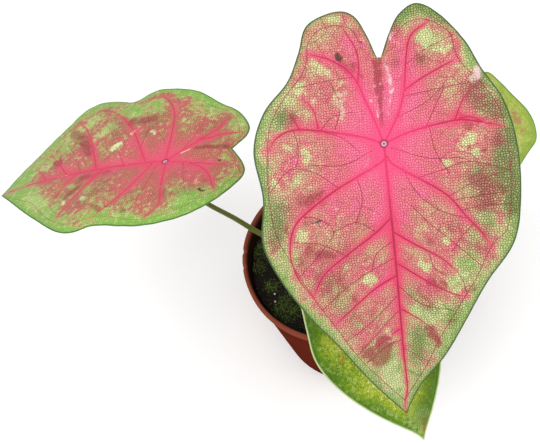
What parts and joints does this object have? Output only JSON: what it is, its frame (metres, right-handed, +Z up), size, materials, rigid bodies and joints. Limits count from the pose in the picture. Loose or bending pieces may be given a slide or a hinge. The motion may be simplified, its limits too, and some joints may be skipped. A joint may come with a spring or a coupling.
{
  "type": "potted caladium",
  "caption": "Potted caladium with heart-shaped pink and green leaves on slender stems, rising from a tuber in a round nursery pot of soil.",
  "frame": {"origin": "centre of the flat disc under the pot, on the plane that the pot stands on", "axes": "+Z up along the pot's axis; the large leaf's tip points towards -Y, the side leaf's towards -X"},
  "size_m": [0.3163, 0.2395, 0.2637],
  "materials": {
    "pot_plastic": "thin moulded terracotta-brown plastic, satin",
    "soil": "dark damp peat and bark mix with patches of moss",
    "tuber_skin": "brown rough skin",
    "leaf_pink": "soft satin blade, pink with red veins, a fine dark net and a pale green edge",
    "leaf_green": "soft satin blade, green with a fine paler mottle",
    "stem": "smooth olive-green stalk"
  },
  "bodies": {
    "root": {"pot": "pot_plastic", "soil": "soil", "tuber": "tuber_skin", "blade_large": "leaf_pink", "blade_left": "leaf_pink", "blade_front": "leaf_green", "blade_rear": "leaf_green", "petiole_large": "stem", "petiole_left": "stem", "petiole_front": "stem", "petiole_rear": "stem"}
  },
  "joints": []
}
